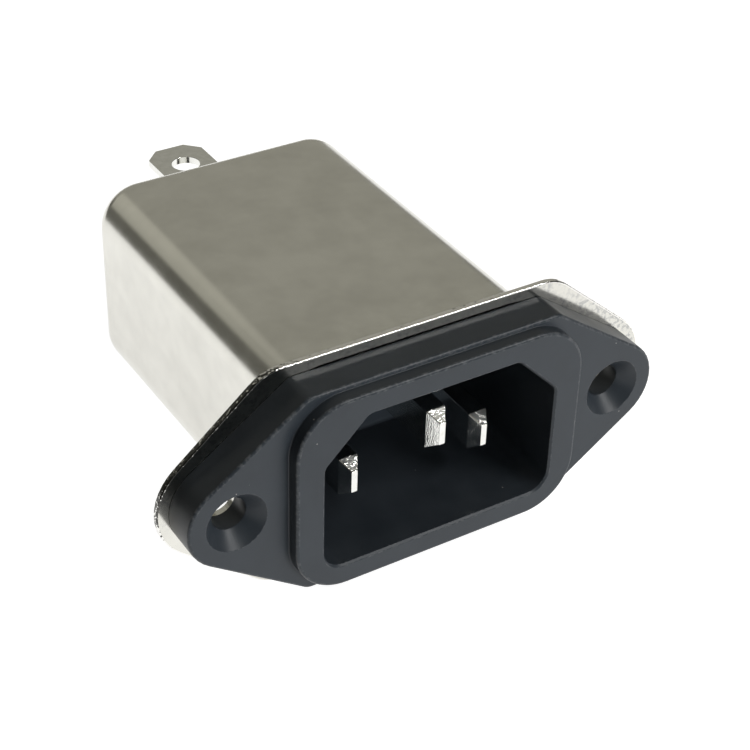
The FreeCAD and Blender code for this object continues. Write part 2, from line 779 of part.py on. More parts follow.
def make_circuit_board():
    """Upright board with slots for the pin tails and holes for the leads."""
    outline = grown(can_inside_outline(), sheet - liner_inside - board_clearance)
    board = prism(outline, board_front, board_back)
    tools = []
    for name, x, z, tip in pin_places():
        tools.append(centred_block(x, z, pin_tail_thickness + 2 * hole_clearance,
                                   pin_tail_height + 2 * hole_clearance, board_front, board_back))
    places = x_cap_lead_places() + resistor_lead_places()
    places += [(line_wire_x, live_blade_z), (neutral_wire_x, live_blade_z)]
    for side in (-1, 1):
        places += y_cap_lead_places(side)
        angles = choke_angles(side)
        for angle in (angles[0], angles[-1]):
            point = winding_point(angle, winding_radii()[1], 0)
            places.append((point.x, point.z))
    for x, z in places:
        tools.append(rod(x, z, lead_diameter + 2 * hole_clearance, board_front, board_back))
    return board.cut(Part.makeCompound(tools))


# --- Nodes ----------------------------------------------------------------------------------

def make_nodes():
    """Every piece by its name."""
    nodes = {
        "inlet_moulding": make_inlet_moulding(),
        "shield_can": make_shield_can(),
        "insulating_liner": make_insulating_liner(),
        "circuit_board": make_circuit_board(),
        "choke_core": make_choke_core(),
        "choke_winding_line": make_choke_winding(-1),
        "choke_winding_neutral": make_choke_winding(1),
        "choke_divider": make_choke_divider(),
        "x_capacitor": make_x_capacitor(),
        "x_capacitor_leads": make_x_capacitor_leads(),
        "y_capacitor_line": make_y_capacitor(-1),
        "y_capacitor_line_leads": make_y_capacitor_leads(-1),
        "y_capacitor_neutral": make_y_capacitor(1),
        "y_capacitor_neutral_leads": make_y_capacitor_leads(1),
        "bleed_resistor": make_bleed_resistor(),
        "bleed_resistor_leads": make_bleed_resistor_leads(),
        "line_wire": make_live_wire(-1),
        "neutral_wire": make_live_wire(1),
        "line_blade": make_live_blade(-1),
        "neutral_blade": make_live_blade(1),
        "terminal_carrier": make_terminal_carrier(),
        "earth_blade": make_earth_blade(),
        "earth_rivet": make_earth_rivet(),
        "earth_strap": make_earth_strap(),
    }
    for name, x, z, tip in pin_places():
        nodes[name] = make_pin(x, z, tip)
    return nodes


os.makedirs("parts", exist_ok=True)
for node, shape in make_nodes().items():
    shape.exportStep("parts/" + node + ".step")
    print(node, len(shape.Solids), "solid(s)", round(shape.Volume, 2), "mm3", shape.isValid())
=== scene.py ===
# %% [markdown]
# # A filtered C14 panel inlet
#
# The part is a black moulded socket with three flat pins, pushed from the front into a deep-drawn
# steel can that hides a mains filter. The can's own flange lies behind the moulding's flange, and
# two countersunk screws clamp both to a panel. Three flat blades stand out of the can's closed end.
#
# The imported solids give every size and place. Here each visible piece gets a new skin, worked out
# with numpy from the same sizes, with the small roundings that catch the light, and each piece
# gets a finish made of nodes. Lengths are in millimetres until a mesh is made.

import bpy
import numpy as np
from mathutils import Matrix, Vector
from mathutils.geometry import delaunay_2d_cdt


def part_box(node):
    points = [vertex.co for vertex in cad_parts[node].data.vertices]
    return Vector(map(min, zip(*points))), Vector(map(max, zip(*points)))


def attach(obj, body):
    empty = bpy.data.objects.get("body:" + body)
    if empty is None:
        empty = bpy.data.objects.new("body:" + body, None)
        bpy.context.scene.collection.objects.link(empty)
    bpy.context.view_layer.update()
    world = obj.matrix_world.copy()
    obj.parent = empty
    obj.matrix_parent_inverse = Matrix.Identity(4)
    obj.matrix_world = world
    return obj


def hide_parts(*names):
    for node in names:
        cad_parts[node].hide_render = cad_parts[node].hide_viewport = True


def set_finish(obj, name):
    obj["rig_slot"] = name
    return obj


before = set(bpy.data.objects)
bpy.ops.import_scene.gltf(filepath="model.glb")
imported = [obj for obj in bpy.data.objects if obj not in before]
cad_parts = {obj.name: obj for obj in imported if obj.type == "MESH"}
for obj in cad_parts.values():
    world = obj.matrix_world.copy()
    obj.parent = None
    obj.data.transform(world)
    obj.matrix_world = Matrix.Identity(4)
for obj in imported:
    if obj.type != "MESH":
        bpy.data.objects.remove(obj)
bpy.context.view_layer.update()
scene = bpy.context.scene
scene.view_settings.view_transform = "Standard"
mm = 0.001

# %% [markdown]
# ## Sizes
#
# The solids were made from these sizes, so the skins repeat them. The depth Y starts at the back
# face of the steel flange and grows towards the blades. The small edge roundings are new: a
# moulding or a pressed sheet has no razor edge, and a rounding of a tenth of a millimetre already
# draws the thin bright line that shows where a face ends.

# %% Sizes shared by the pieces
screw_x = 20.0
screw_hole_radius = 1.65
steel_front = -0.6
flange_front = -4.2
rim_front = -5.6
socket_floor = 10.9
tunnel_back = 13.9
seat_front = tunnel_back - 1.2
board_front = 15.4
sheet = 0.6
can_end = 37.6
can_inside_end = can_end - sheet
carrier_front = can_inside_end - 2.2
blade_tip = 48.7
pin_x = 7.0
pin_z = -2.15
earth_pin_z = 2.75
blade_x = 7.0
live_blade_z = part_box("line_blade")[0][2] / mm + 3.75
rivet_z = (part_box("earth_rivet")[0][2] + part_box("earth_rivet")[1][2]) / 2 / mm
print("live blades at z", round(live_blade_z, 3), "rivet at z", round(rivet_z, 3))

# %% [markdown]
# ## Outlines
#
# Nearly every piece is an outline in the XZ plane carried along Y. An outline here is a belt pulled
# tight round circles: straight between them, curved on them. One function covers the flanges, the
# rounded rectangles and the socket with its two cut corners, and the circles that the solids were
# drawn with give the same outline again, so the two match.

# %% Belt outlines
def belt(circles, arc_steps=8, line_steps=1):
    """Closed outline, one row per point: x, z and the outward normal's x, z.

    Between two circles runs the tangent whose normal n has n.(c1 - c0) = r0 - r1.
    On a circle the point is c + r n, while n turns from one tangent's normal to the next one's.
    A negative radius makes a hollow corner.
    """
    circles = np.array(circles, float)
    centre, radius = circles[:, :2], circles[:, 2]
    along = np.roll(centre, -1, 0) - centre
    heading = np.arctan2(along[:, 1], along[:, 0])
    slope = np.arcsin((radius - np.roll(radius, -1)) / np.linalg.norm(along, axis=1))
    leaves = heading - np.pi / 2 + slope
    comes = np.roll(leaves, 1)
    turn = (leaves - comes + np.pi) % (2 * np.pi) - np.pi
    angle = comes[:, None] + turn[:, None] * np.linspace(0, 1, arc_steps + 1)
    normal = np.stack([np.cos(angle), np.sin(angle)], -1)
    point = centre[:, None] + radius[:, None, None] * normal
    share = np.arange(1, line_steps)[None, :, None] / line_steps
    start, end = point[:, -1:], np.roll(point[:, :1], -1, 0)
    point = np.concatenate([point, start + (end - start) * share], 1)
    normal = np.concatenate([normal, np.repeat(normal[:, -1:], line_steps - 1, 1)], 1)
    return np.concatenate([point, normal], -1).reshape(-1, 4)


def corners(places):
    """Circles that round the corners of a polygon, given anticlockwise as x, z, radius.

    With the outward normals n0 and n1 of the two sides at a corner p, and m halfway between them,
    the centre is p - m r / cos(half the turn), and r is negative where the corner is hollow.
    """
    places = np.array(places, float)
    point, radius = places[:, :2], places[:, 2]
    ahead = np.roll(point, -1, 0) - point
    ahead = ahead / np.linalg.norm(ahead, axis=1)[:, None]
    behind = np.roll(ahead, 1, 0)
    turn = np.arctan2(behind[:, 0] * ahead[:, 1] - behind[:, 1] * ahead[:, 0],
                      (behind * ahead).sum(1))
    middle = np.stack([ahead[:, 1] + behind[:, 1], -ahead[:, 0] - behind[:, 0]], 1)
    middle = middle / np.linalg.norm(middle, axis=1)[:, None]
    signed = radius * np.sign(turn)
    centre = point - middle * (signed / np.cos(turn / 2))[:, None]
    return np.column_stack([centre, signed])


def rectangle(x, z, width, height, radius):
    """Circles of a rounded rectangle round the point x, z."""
    a, b = width / 2, height / 2
    return corners([(x - a, z - b, radius), (x + a, z - b, radius),
                    (x + a, z + b, radius), (x - a, z + b, radius)])


def ring(x, z, radius, steps=48):
    """Round outline: the centre plus the radius times (cos, sin)."""
    angle = np.arange(steps) * 2 * np.pi / steps
    normal = np.stack([np.cos(angle), np.sin(angle)], 1)
    return np.column_stack([normal * radius + (x, z), normal])


def flange_circles(end_radius, shoulder_x, shoulder_z, shoulder_radius):
    """Circles of a flange: a round end at each screw and four shoulders."""
    x, z, r = shoulder_x, shoulder_z - shoulder_radius, shoulder_radius
    return [(-screw_x, 0, end_radius), (-x, -z, r), (x, -z, r),
            (screw_x, 0, end_radius), (x, z, r), (-x, z, r)]


def offset(outline, distance):
    """The outline moved outwards along its normals, or inwards where the distance is negative."""
    return outline[:, :2] + distance * outline[:, 2:]


flange = belt(flange_circles(end_radius=4.65, shoulder_x=12.5, shoulder_z=10.55,
                             shoulder_radius=1.6), 12)
steel_flange = belt(flange_circles(end_radius=5.8, shoulder_x=13.6, shoulder_z=11.7,
                                   shoulder_radius=4.3), 12)
rim = belt(rectangle(0, 0, width=29.9, height=20.3, radius=5.2), 16)
can_outside = belt(rectangle(0, 0, width=27.5, height=20.8, radius=4.3), 16)
can_inside = belt(rectangle(0, 0, width=26.3, height=19.6, radius=3.7), 16)
tunnel = belt(rectangle(0, 0, width=26.1, height=19.4, radius=3.6), 16)
wide, narrow = 12.1, 7.8
high, cut_from = 7.85, 3.55
low_radius, top_radius = 2.0, 1.0
mouth = belt(corners([(-wide, -high, low_radius), (wide, -high, low_radius),
                      (wide, cut_from, top_radius), (narrow, high, top_radius),
                      (-narrow, high, top_radius), (-wide, cut_from, top_radius)]), 10)
print("flange outline", len(flange), "points, socket mouth", len(mouth), "points")

# %% [markdown]
# ## Profiles and patches
#
# A profile says how far each stretch of skin stands out from the outline, and at which depth. It is
# walked so that the solid is always on the right-hand side: from the back along the outside to the
# front, over the front edge, and down into the socket. Then the normal follows from the direction
# of travel, and every face points outwards by itself.
#
# Flat faces with holes in them are filled with a constrained triangulation. Each patch keeps its
# own exact normals, so that a flat face shades flat up to its last millimetre, and a number that
# says where the edges are, for the edge marks in the finishes: wear, coining ridges, and some
# painted highlight and painted shade.

# %% Profiles carried round an outline
smallest_bend = 0.5


def profile(places, arc_steps=5):
    """Stretches of an open profile given as offset, depth and rounding radius.

    A straight stretch has the normal (-dy, dd) of its direction (dd, dy). A rounding of radius r
    starts and ends r tan(half the turn) from the corner, and its normal turns evenly.
    Returns pairs: rows of offset, depth, normal offset and normal depth, and 1 for an outer edge
    or 0 for anything else. A rounding of smallest_bend or more is a bend, and no edge.
    """
    places = np.array(places, float)
    point, radius = places[:, :2], places[:, 2]
    ahead = np.diff(point, axis=0)
    ahead = ahead / np.linalg.norm(ahead, axis=1)[:, None]
    angle = np.arctan2(ahead[:, 0], -ahead[:, 1])
    turn = (np.diff(angle) + np.pi) % (2 * np.pi) - np.pi
    cut = np.zeros(len(point))
    cut[1:-1] = radius[1:-1] * np.tan(np.abs(turn) / 2)
    stretches = []
    for index in range(len(ahead)):
        start = point[index] + ahead[index] * cut[index]
        end = point[index + 1] - ahead[index] * cut[index + 1]
        normal = np.array([np.cos(angle[index]), np.sin(angle[index])])
        if np.linalg.norm(end - start) > 1e-6:
            rows = start + (end - start) * np.array([[0.0], [1.0]])
            stretches.append((np.column_stack([rows, [normal, normal]]), 0.0))
        if index + 1 < len(ahead) and radius[index + 1] > 0:
            outer = -np.sign(turn[index])
            centre = end - outer * radius[index + 1] * normal
            turned = angle[index] + turn[index] * np.linspace(0, 1, arc_steps + 1)
            normals = np.stack([np.cos(turned), np.sin(turned)], 1)
            rows = centre + outer * radius[index + 1] * normals
            sharp = float(outer > 0 and radius[index + 1] < smallest_bend)
            stretches.append((np.column_stack([rows, normals]), sharp))
    return stretches


def grid_faces(rows, columns):
    """Quads of a grid that closes on itself along its columns."""
    row, column = np.meshgrid(np.arange(rows - 1), np.arange(columns), indexing="ij")
    beside = (column + 1) % columns
    quads = [row * columns + column, row * columns + beside,
             (row + 1) * columns + beside, (row + 1) * columns + column]
    return np.stack(quads, -1).reshape(-1, 4)


def carry(outline, places, arc_steps=5):
    """Patches of a profile carried round an outline.

    The point is (x + d nx, y, z + d nz) for the outline's x, z, nx, nz and the profile's d, y.
    """
    patches = []
    for rows, outer in profile(places, arc_steps):
        d, y, nd, ny = rows.T[:, :, None]
        x, z, nx, nz = outline.T[:, None, :]
        point = np.stack([x + d * nx, y + 0 * x, z + d * nz], -1)
        normal = np.stack([nd * nx, ny + 0 * nx, nd * nz], -1)
        patches.append({"point": point.reshape(-1, 3), "normal": normal.reshape(-1, 3),
                        "faces": grid_faces(len(rows), len(outline)), "edge": outer})
    return patches


def loft(first, first_y, second, second_y, edge):
    """Patch between two outlines with as many points, its normal the cross product of the
    outline's tangent and the line from the one to the other."""
    a = np.column_stack([first[:, 0], np.full(len(first), first_y), first[:, 1]])
    b = np.column_stack([second[:, 0], np.full(len(second), second_y), second[:, 1]])
    tangent = np.column_stack([-first[:, 3], np.zeros(len(first)), first[:, 2]])
    normal = np.cross(tangent, b - a)
    normal = normal / np.linalg.norm(normal, axis=1)[:, None]
    return {"point": np.concatenate([a, b]), "normal": np.concatenate([normal, normal]),
            "faces": grid_faces(2, len(first)), "edge": edge}


def flat(depth, facing, loops, ties=()):
    """Patch that fills the first loop, apart from the others, at one depth.

    A triangle stays if a line from its middle towards +x crosses the loops an odd number of times.
    facing is -1 for a face seen from the front and 1 for one seen from the back. ties are pairs of
    point numbers that a side of a triangle has to join.
    """
    loops = [loop[:, :2] for loop in loops]
    start = np.concatenate(loops)
    end = np.concatenate([np.roll(loop, -1, 0) for loop in loops])
    lengths = [len(loop) for loop in loops]
    around = np.repeat(lengths, lengths)
    begins = np.repeat(np.cumsum([0] + lengths[:-1]), lengths)
    index = np.arange(len(start))
    sides = np.column_stack([index, begins + (index - begins + 1) % around]).tolist()
    result = delaunay_2d_cdt([Vector(point) for point in start], sides + list(ties), [], 1, 1e-6)
    faces = np.array([origin[0] for origin in result[3]])[np.array(result[2])]
    middle = start[faces].mean(1)[:, None]
    across = (start[:, 1] > middle[..., 1]) != (end[:, 1] > middle[..., 1])
    rise = np.where(end[:, 1] == start[:, 1], 1.0, end[:, 1] - start[:, 1])
    meets = start[:, 0] + (middle[..., 1] - start[:, 1]) / rise * (end[:, 0] - start[:, 0])
    faces = faces[(across & (meets > middle[..., 0])).sum(1) % 2 == 1]
    a, b, c = (start[faces[:, column]] for column in range(3))
    area = (b - a)[:, 0] * (c - a)[:, 1] - (b - a)[:, 1] * (c - a)[:, 0]
    faces[area * facing > 0] = faces[area * facing > 0][:, ::-1]
    point = np.column_stack([start[:, 0], np.full(len(start), depth), start[:, 1]])
    return {"point": point, "normal": np.tile([0.0, facing, 0.0], (len(point), 1)),
            "faces": faces, "edge": 0.0}


sample = carry(rim, [(0, 1, 0), (0, 0, 0.3), (-1, 0, 0)])
print("a rounded edge round the rim:", len(sample), "patches,",
      sum(len(patch["faces"]) for patch in sample), "quads")

# %% [markdown]
# ## From patches to a piece
#
# Patches that meet share their border points, so the points are welded by rounding them to a
# thousandth of a millimetre. The mesh then closes, and the test below counts the sides that don't
# have exactly two faces. The exact normals go in as custom normals, and the edge number as an
# attribute of the face corners, so that it stops sharply where a rounding ends.

# %% Making a piece
weld_digits = 3


def make_piece(name, node, slot, patches, bend=None):
    """Mesh of welded patches, in metres, riding on the part and standing for one solid."""
    starts = np.cumsum([0] + [len(patch["point"]) for patch in patches])
    point = np.concatenate([patch["point"] for patch in patches])
    normal = np.concatenate([patch["normal"] for patch in patches])
    edge = np.concatenate([np.full(len(patch["point"]), patch["edge"]) for patch in patches])
    if bend is not None:
        point, normal = bend(point, normal)
    kept, first, welded = np.unique(np.round(point, weld_digits), axis=0,
                                    return_index=True, return_inverse=True)
    welded = welded.reshape(-1)
    corner_of = [start + patch["faces"] for start, patch in zip(starts, patches)]
    sizes = np.concatenate([np.full(len(faces), faces.shape[1]) for faces in corner_of])
    loops = np.concatenate([faces.reshape(-1) for faces in corner_of])

    mesh = bpy.data.meshes.new(name)
    mesh.vertices.add(len(kept))
    mesh.vertices.foreach_set("co", (point[first] * mm).astype(np.float32).reshape(-1))
    mesh.loops.add(len(loops))
    mesh.loops.foreach_set("vertex_index", welded[loops].astype(np.int32))
    mesh.polygons.add(len(sizes))
    begins = np.concatenate([[0], np.cumsum(sizes)[:-1]])
    mesh.polygons.foreach_set("loop_start", begins.astype(np.int32))
    mesh.update(calc_edges=True)
    mesh.attributes.new("edge", "FLOAT", "CORNER").data.foreach_set("value", edge[loops])
    mesh.shade_smooth()
    mesh.normals_split_custom_set(normal[loops].tolist())

    piece = bpy.data.objects.new(name, mesh)
    scene.collection.objects.link(piece)
    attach(piece, "root")
    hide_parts(node)
    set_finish(piece, slot)
    here, ahead = welded[loops], np.empty(len(loops), int)
    ahead[:-1] = here[1:]
    ends = np.cumsum(sizes) - 1
    ahead[ends] = here[begins]
    count = np.unique(np.sort(np.column_stack([here, ahead]), axis=1), axis=0,
                      return_counts=True)[1]
    print(name, int((sizes - 2).sum()), "triangles,", int((count != 2).sum()), "open sides")
    return piece


print("points are welded at", 10 ** -weld_digits, "mm")

# %% [markdown]
# ## The moulding
#
# Flange, raised rim, socket and the tunnel that fills the can's mouth are one injection moulding.
# The skin starts on the flange's rim, climbs a small fillet to the raised rim, turns over its
# rounded edge, drops down the bevel at the mouth and runs to the socket's floor, where the pins
# come through. The tunnel's outside and the seats behind the floor close the shape.

# %% Moulded front
def slot_outline(x, z, width, height):
    """Outline of a pin's slot or seat in the socket's floor."""
    return belt(rectangle(x, z, width, height, 0.05), 2)


pins = {"line_pin": (-pin_x, pin_z), "neutral_pin": (pin_x, pin_z),
        "earth_pin": (0.0, earth_pin_z)}
screw_holes = [ring(side * screw_x, 0, screw_hole_radius) for side in (-1, 1)]
slots = [slot_outline(x, z, 2.06, 4.06) for x, z in pins.values()]
seats = [slot_outline(x, z, 2.12, 5.46) for x, z in pins.values()]
pads = [belt(rectangle(x, z, 2.0, 2.0, 0.05), 2) for x in (-11.25, 11.25) for z in (-6.5, 6.5)]
small = 0.1
flange_rounding = 0.28
rim_rounding = 0.3
bevel, bevel_rounding = 0.2, 0.12
draft = 0.15
floor_flat = -0.6
countersink_rise, countersink_depth = 1.3, 1.5
countersink_flat = countersink_rise + small

moulding = carry(flange, [(-small, steel_front, 0), (0, steel_front, small),
                          (0, flange_front, flange_rounding), (-flange_rounding, flange_front, 0)])
moulding += carry(rim, [(small, flange_front, 0), (0, flange_front, small),
                        (0, rim_front, rim_rounding), (-rim_rounding, rim_front, 0)])
moulding += carry(mouth, [(rim_rounding, rim_front, 0), (bevel, rim_front, bevel_rounding),
                          (0, rim_front + bevel, bevel_rounding),
                          (-draft, socket_floor, 0.4), (floor_flat, socket_floor, 0)])
moulding += carry(tunnel, [(-small, tunnel_back, 0), (0, tunnel_back, small), (0, steel_front, 0)])
for hole in screw_holes:
    moulding += carry(hole, [(countersink_flat, flange_front, 0),
                             (countersink_rise, flange_front, small),
                             (0, flange_front + countersink_depth, small), (0, steel_front, 0)])
for slot, seat in zip(slots, seats):
    moulding += carry(slot, [(0, socket_floor, 0), (0, seat_front, 0)])
    moulding += carry(seat, [(0, seat_front, 0), (0, tunnel_back, 0)])
    moulding.append(flat(seat_front, 1, [seat, slot]))
for pad in pads:
    moulding += carry(pad, [(0, board_front, 0), (0, tunnel_back, 0)])
    moulding.append(flat(board_front, 1, [pad]))
moulding.append(flat(flange_front, -1, [offset(flange, -flange_rounding), offset(rim, small)]
                     + [offset(hole, countersink_flat) for hole in screw_holes]))
moulding.append(flat(rim_front, -1, [offset(rim, -rim_rounding), offset(mouth, rim_rounding)]))
moulding.append(flat(socket_floor, -1, [offset(mouth, floor_flat)] + slots))
moulding.append(flat(tunnel_back, 1, [offset(tunnel, -small)] + seats + pads))
moulding.append(flat(steel_front, 1, [offset(flange, -small), tunnel] + screw_holes))
make_piece("moulded_front", "inlet_moulding", "black_moulding", moulding)

# %% [markdown]
# ## The drawn can
#
# Can and flange are one sheet, 0.6 mm thick, drawn deep and trimmed round the flange. The skin has
# the real sheet's two sides: outside wall and end with the roundings of the punch, the mouth's
# radius where the wall turns out into the flange, and the wall's inside. The trimmed edge gets a
# sharper rounding in front than a moulding has, as a blanking die leaves it, and the whole trimmed
# edge counts as an edge, because that is where the burr is and where the finish puts its flecks of
# painted shade.

# %% Can with its flange
def collar(side):
    """Outline of the moulded collar round one live blade."""
    return belt(rectangle(side * blade_x, live_blade_z, 2.4, 7.9, 0.9), 6)


def moved_out(outline, distance):
    """The outline with its points moved out, and its normals kept."""
    return np.column_stack([offset(outline, distance), outline[:, 2:]])


openings = [moved_out(collar(side), 0.08) for side in (-1, 1)] + [ring(0, rivet_z, 1.02, 24)]
back_trim, front_trim = 0.08, 0.15
draw, punch = 0.5, 2.2
draw_inside, punch_inside = 1.1, 1.6
can = carry(steel_flange, [(-back_trim, 0, 0), (0, 0, back_trim), (0, steel_front, front_trim),
                           (-front_trim, steel_front, 0)])
for patch in can:
    patch["edge"] = 1.0
can += carry(can_outside, [(-punch, can_end, 0), (0, can_end, punch), (0, 0, draw), (draw, 0, 0)],
             10)
can += carry(can_inside, [(draw_inside, steel_front, 0), (0, steel_front, draw_inside),
                          (0, can_inside_end, punch_inside), (-punch_inside, can_inside_end, 0)],
             8)
for hole in screw_holes:
    can += carry(hole, [(0, steel_front, 0), (0, 0, 0)])
for opening in openings:
    can += carry(opening, [(0, can_inside_end, 0), (0, can_end, 0)])
can.append(flat(0, 1, [offset(steel_flange, -back_trim), offset(can_outside, draw)]
                + screw_holes))
can.append(flat(steel_front, -1, [offset(steel_flange, -front_trim),
                                  offset(can_inside, draw_inside)] + screw_holes))
can.append(flat(can_end, 1, [offset(can_outside, -punch)] + openings))
can.append(flat(can_inside_end, -1, [offset(can_inside, -punch_inside)] + openings))
make_piece("drawn_can", "shield_can", "plated_steel", can)

# %% [markdown]
# ## The pins
#
# A pin is flat brass stock, nickel-plated, with its tip coined to a taper on all four sides. It
# isn't an outline with one offset, because the taper is longer one way than the other, so its skin
# is lofted from section to section: tip, taper, blade, shoulder behind the floor, solder tail.

# %% Flat pins
def pin_section(x, z, width, height, radius):
    """Rounded rectangle across a pin."""
    return belt(rectangle(x, z, width, height, radius), 4)


def make_pin(name, x, z, tip):
    """Lofts between the pin's sections, closed by its tip and its tail."""
    tip_face = pin_section(x, z, 0.65, 2.4, 0.1)
    stock = pin_section(x, z, 2.0, 4.0, 0.12)
    shoulder = pin_section(x, z, 2.0, 5.4, 0.12)
    tail = pin_section(x, z, 1.0, 2.0, 0.1)
    sections = [(tip + tip_rounding, tip_face), (tip + coined_length, stock), (seat_front, stock),
                (seat_front + 0.02, shoulder), (tunnel_back - 0.02, shoulder),
                (tunnel_back, tail), (tail_end, tail)]
    skin = carry(tip_face, [(0, tip + tip_rounding, 0), (0, tip, tip_rounding),
                            (-tip_rounding, tip, 0)])
    for (near_y, near), (far_y, far) in zip(sections, sections[1:]):
        skin.append(loft(far, far_y, near, near_y, float(near is tip_face)))
    skin.append(flat(tip, -1, [offset(tip_face, -tip_rounding)]))
    skin.append(flat(tail_end, 1, [tail]))
    make_piece(name + "_plated", name, "nickel_brass", skin)


tip_rounding = 0.05
coined_length = 1.2
tail_end = 18.0
tips = {"line_pin": -2.0, "neutral_pin": -2.0, "earth_pin": -5.25}
for name, (x, z) in pins.items():
    make_pin(name, x, z, tips[name])

# %% [markdown]
# ## The blades
#
# The three blades are 6.3 by 0.8 mm quick-connect tabs, stamped from strip. Each is made lying
# flat, as an outline with its hole carried through the thickness, and then brought into place. The
# earth blade is bent: its outline runs on, and a function wraps it round the bend, so that a
# stretch s of strip becomes the angle s / bend radius. The two live blades are turned upright.

# %% Skin of a blade
half_sheet = 0.4
half_width, half_tip = 3.15, 1.65
tip_cut = 1.5
hole_from_tip, hole_radius = 4.0, 1.5
stamped, pierced = 0.08, 0.06


def blade_skin(outline, holes, ties=()):
    """Skin of a plate 0.8 mm thick, lying in XZ, with its thickness along Y."""
    h, r = half_sheet, stamped
    skin = carry(outline, [(-r, h, 0), (0, h, r), (0, -h, r), (-r, -h, 0)], 3)
    r = pierced
    for hole in holes:
        skin += carry(hole, [(r, -h, 0), (0, -h, r), (0, h, r), (r, h, 0)], 3)
    for depth, facing in ((h, 1), (-h, -1)):
        skin.append(flat(depth, facing, [offset(outline, -stamped)]
                         + [offset(hole, pierced) for hole in holes], ties))
    return skin


print("blades are", 2 * half_width, "by", 2 * half_sheet, "mm")

# %% Earth blade, bent


earth_blade_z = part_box("earth_blade")[1][2] / mm - half_sheet
foot_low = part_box("earth_blade")[0][2] / mm
bend_radius = 1.2
bend_length = bend_radius * np.pi / 2
bend_y = can_end + half_sheet + bend_radius
bend_z = earth_blade_z - bend_radius


def bend_down(point, normal):
    """Wraps the strip round the bend.

    x stays, s = z runs along the strip and w = y through it. Behind the bend, s is the depth. In
    the bend the angle is a = -s / radius, and below it the angle stays a quarter turn. The middle
    plane is at (y, z) = centre + radius (-sin a, cos a), and w counts towards the bend's centre.
    """
    x, w, s = point.T
    a = np.clip(-s / bend_radius, 0, np.pi / 2)
    beyond, below = np.maximum(s, 0), np.maximum(-s - bend_length, 0)
    y = bend_y - (bend_radius - w) * np.sin(a) + beyond
    z = bend_z + (bend_radius - w) * np.cos(a) - below
    nx, nw, ns = normal.T
    return (np.column_stack([x, y, z]),
            np.column_stack([nx, ns * np.cos(a) + nw * np.sin(a),
                             ns * np.sin(a) - nw * np.cos(a)]))


strip_low = -bend_length - (bend_z - foot_low)
strip_tip = blade_tip - bend_y
strip_corner = 0.3
strip_outline = belt(corners([(-half_width, strip_low, strip_corner),
                              (half_width, strip_low, strip_corner),
                              (half_width, strip_tip - tip_cut, strip_corner),
                              (half_tip, strip_tip, strip_corner),
                              (-half_tip, strip_tip, strip_corner),
                              (-half_width, strip_tip - tip_cut, strip_corner)]), 4, 64)
strip_holes = [ring(0, strip_tip - hole_from_tip, hole_radius, 40),
               ring(0, -bend_length - (bend_z - rivet_z), 1.02, 24)]
in_bend = (strip_outline[:, 1] > -bend_length - 0.1) & (strip_outline[:, 1] < 0.1)
right = np.flatnonzero(in_bend & (strip_outline[:, 0] > 3))
left = np.flatnonzero(in_bend & (strip_outline[:, 0] < -3))[::-1]
across_bend = list(zip(right.tolist(), left.tolist()))
make_piece("earth_blade_plated", "earth_blade", "nickel_brass",
           blade_skin(strip_outline, strip_holes, across_bend), bend_down)


# %% Live blades, upright
def make_live_blade(name, side):
    """Blade whose length runs along Y and whose width stands upright."""
    def stand_up(point, normal):
        turned = np.array([[0.0, 1, 0], [-1, 0, 0], [0, 0, 1]])
        return point @ turned + (side * blade_x, 0, live_blade_z), normal @ turned

    lug, tail = carrier_front - 1.2, carrier_front - 3.8
    half_tail, half_lug = 1.5, 3.75
    outline = belt(corners([
        (tail, -half_tail, 0.12), (lug, -half_tail, 0.1),
        (lug, -half_lug, 0.12), (carrier_front, -half_lug, 0.12),
        (carrier_front, -half_width, 0.1), (blade_tip - tip_cut, -half_width, 0.3),
        (blade_tip, -half_tip, 0.3), (blade_tip, half_tip, 0.3),
        (blade_tip - tip_cut, half_width, 0.3), (carrier_front, half_width, 0.1),
        (carrier_front, half_lug, 0.12), (lug, half_lug, 0.12),
        (lug, half_tail, 0.1), (tail, half_tail, 0.12)]), 4)
    holes = [ring(blade_tip - hole_from_tip, 0, hole_radius, 40), ring(tail + 1.2, 0, 0.6, 24)]
    make_piece(name + "_plated", name, "nickel_brass", blade_skin(outline, holes), stand_up)


make_live_blade("line_blade", -1)
make_live_blade("neutral_blade", 1)

# %% [markdown]
# ## Carrier and rivet
#
# A moulded carrier holds the two live blades clear of the can: a plate inside the end wall, with a
# collar through the wall round each blade. The earth blade needs no insulation, and a rivet clamps
# its foot to the steel.

# %% Blade carrier
plate = belt(rectangle(0, live_blade_z, 17.2, 8.7, 1.5), 8)
collars = [collar(side) for side in (-1, 1)]
blade_slots = [belt(rectangle(side * blade_x, live_blade_z, 0.86, 6.36, 0.05), 3)
               for side in (-1, 1)]
collar_end, collar_rounding = can_end + 1.6, 0.2
carrier = carry(plate, [(-small, can_inside_end, 0), (0, can_inside_end, small),
                        (0, carrier_front, small), (-small, carrier_front, 0)])
for outline, slot in zip(collars, blade_slots):
    carrier += carry(outline, [(-collar_rounding, collar_end, 0),
                               (0, collar_end, collar_rounding), (0, can_inside_end, 0)])
    carrier += carry(slot, [(0, carrier_front, 0), (0, collar_end, small),
                            (small, collar_end, 0)])
    carrier.append(flat(collar_end, 1, [offset(outline, -collar_rounding),
                                        offset(slot, small)]))
carrier.append(flat(can_inside_end, 1, [offset(plate, -small)] + collars))
carrier.append(flat(carrier_front, -1, [offset(plate, -small)] + blade_slots))
make_piece("blade_carrier", "terminal_carrier", "black_moulding", carrier)

